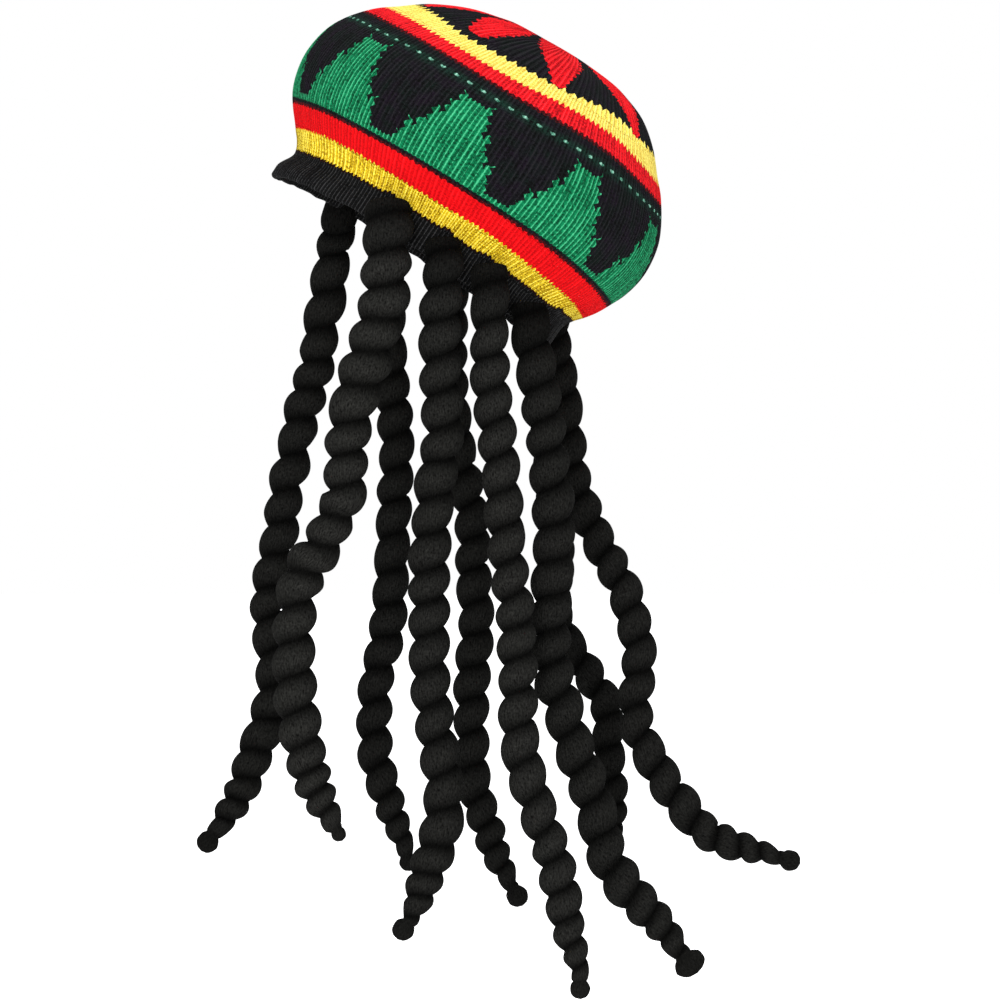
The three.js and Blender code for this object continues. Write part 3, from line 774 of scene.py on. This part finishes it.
# %% Knit acrylic material
def knit_material(name, threads=1.0, mottle=2.8, with_petals=False):
    material, tree, shader, across, up = new_yarn(name, KNIT_ROUGH, KNIT_GLOSS)
    off, height = stitches(tree, across, up, threads)
    shade_tone, middle, highlight_tone = charted_tones(tree, across, up, off, with_petals)
    fibre = noise(tree, across, up, *FIBRE_GRAIN)
    fleck = swing(tree, fibre, mottle)
    uneven = swing(tree, noise(tree, across, up, threads, *STRAND_GRAIN_UP), STRAND_UNEVEN)
    # Painted shade: yarn that stands lower takes more of the deep tone; the flecks and uneven strands are
    # the yarn's own.
    by_height = sum_of(tree, "ADD", sum_of(tree, "MULTIPLY", height, LIT_BY_HEIGHT), LIT_ALWAYS)
    lit = sum_of(tree, "ADD", sum_of(tree, "ADD", fleck, uneven), by_height)
    # Painted highlight: the middle of each wale takes the brightest tone.
    painted_highlight_place = sum_of(tree, "MULTIPLY", sum_of(tree, "SUBTRACT", BRIGHT_HALF, off), BRIGHT_SHARP)
    more_uneven = sum_of(tree, "MULTIPLY", uneven, BRIGHT_UNEVEN)
    highlight_share = sum_of(tree, "ADD", sum_of(tree, "ADD", fleck, more_uneven), painted_highlight_place)
    colour = mixed(tree, highlight_share, mixed(tree, lit, shade_tone, middle), highlight_tone)
    tree.links.new(colour, shader.inputs["Base Color"])
    relief = sum_of(tree, "ADD", height, sum_of(tree, "MULTIPLY", fibre, FIBRE_RELIEF))
    bumped(tree, shader, relief, STITCH_RELIEF_MM)
    return material


add_petal_map(knit["petal_crown"].data)
plain = knit_material("knit acrylic yarn")
rolled = knit_material("knit acrylic yarn, loose roll", 2 * ROLL_THREADS, mottle=3.0)
petalled = knit_material("knit acrylic yarn, petals", CROWN_THREADS, with_petals=True)
for name, piece in knit.items():
    piece.data.materials.append({"yellow_roll": rolled, "petal_crown": petalled}.get(name, plain))
print("knit yarns", len(YARNS))

# %% [markdown]
# ## Lock yarn
# The locks are spun from matt black yarn whose threads run along each turn. The groove holds shade.

# %% Lock yarn material
LOCK_ROUGH, LOCK_GLOSS = 0.95, 0.03
LOCK_TONES, LOCK_MOTTLE = ("020202", "272725"), 2.8
THREAD_GRAIN, FLECK_GRAIN = (1.3, 0.28, 3.0), (0.95, 0.7, 3.0)  # cells in a mm round and along, detail
GROOVE_SHADE, GROOVE_SOFT = 0.8, 1.5  # painted shade: how much darker the groove is painted, and how narrow
LOCK_RELIEF_MM = 1.6
yarn, tree, shader, across, up = new_yarn("twisted black yarn", LOCK_ROUGH, LOCK_GLOSS)
threads = noise(tree, across, up, *THREAD_GRAIN)
grain = noise(tree, across, up, *FLECK_GRAIN)
crest = tree.nodes.new("ShaderNodeAttribute")
crest.attribute_name = "crest"
shade = tree.nodes.new("ShaderNodeAttribute")
shade.attribute_name = "shade"
light = sum_of(tree, "ADD", sum_of(tree, "MULTIPLY", threads, 0.5), sum_of(tree, "MULTIPLY", grain, 0.5))
mottled = sum_of(tree, "ADD", swing(tree, light, LOCK_MOTTLE), 0.5)
tone = mixed(tree, mottled, *LOCK_TONES)
# Painted shade: the yarn is painted darker in the groove, at the root and on the locks that catch less
# light.
raised_part = sum_of(tree, "MULTIPLY", sum_of(tree, "POWER", crest.outputs[2], GROOVE_SOFT), GROOVE_SHADE)
depth = sum_of(tree, "ADD", raised_part, 1 - GROOVE_SHADE)
depth = sum_of(tree, "MULTIPLY", depth, shade.outputs[2])
shaded = tree.nodes.new("ShaderNodeVectorMath")
shaded.operation = "SCALE"
tree.links.new(tone, shaded.inputs[0])
tree.links.new(depth, shaded.inputs["Scale"])
tree.links.new(shaded.outputs[0], shader.inputs["Base Color"])
bumped(tree, shader, light, LOCK_RELIEF_MM)
for piece in locks.values():
    piece.data.materials.append(yarn)

# %% [markdown]
# ## Floor and light
# The photo stands on pure white with soft light from the front. The floor is a white sweep that glows
# a little, as a light table does.

# %% Floor and light
FLOOR_SIZE, FLOOR_DOWN = 40, -0.46
FLOOR_GLOW, SKY_GLOW, SEEN_GLOW = 0.25, 0.5, 1.0  # SEEN_GLOW is what the camera itself sees of both
LIT_PLACE = (0.05, 0, -0.1)
bpy.ops.mesh.primitive_plane_add(size=FLOOR_SIZE, location=(0, 0, FLOOR_DOWN))
floor = bpy.context.object
floor.name = "floor"
paper = bpy.data.materials.new("white paper sweep")
paper.use_nodes = True
shader = paper.node_tree.nodes["Principled BSDF"]
shader.inputs["Base Color"].default_value = linear("f4f4f4")
shader.inputs["Roughness"].default_value = 0.9
shader.inputs["Emission Color"].default_value = (1, 1, 1, 1)
seen = paper.node_tree.nodes.new("ShaderNodeLightPath")
glow = paper.node_tree.nodes.new("ShaderNodeMapRange")
glow.inputs["To Min"].default_value = FLOOR_GLOW
glow.inputs["To Max"].default_value = SEEN_GLOW
paper.node_tree.links.new(seen.outputs["Is Camera Ray"], glow.inputs[0])
paper.node_tree.links.new(glow.outputs[0], shader.inputs["Emission Strength"])
floor.data.materials.append(paper)

world = bpy.data.worlds.new("white studio")
bpy.context.scene.world = world
world.use_nodes = True
tree = world.node_tree
sky = tree.nodes["Background"]
sky.inputs["Color"].default_value = (1, 1, 1, 1)
seen = tree.nodes.new("ShaderNodeLightPath")
strength = tree.nodes.new("ShaderNodeMapRange")
strength.inputs["To Min"].default_value = SKY_GLOW
strength.inputs["To Max"].default_value = SEEN_GLOW
tree.links.new(seen.outputs["Is Camera Ray"], strength.inputs[0])
tree.links.new(strength.outputs[0], sky.inputs["Strength"])


def softbox(name, at, size, power):
    lamp = bpy.data.lights.new(name, "AREA")
    lamp.size = size
    lamp.energy = power
    box = bpy.data.objects.new(name, lamp)
    box.location = at
    box.rotation_euler = (Vector(LIT_PLACE) - Vector(at)).to_track_quat("-Z", "Y").to_euler()
    bpy.context.scene.collection.objects.link(box)


softbox("front softbox", (-0.4, -3.4, 0.25), 1.4, 92)
softbox("top softbox", (0.4, 0.2, 2.4), 1.6, 45)

view = bpy.context.scene.view_settings
view.view_transform = "Standard"
view.look = "None"
print("light set")
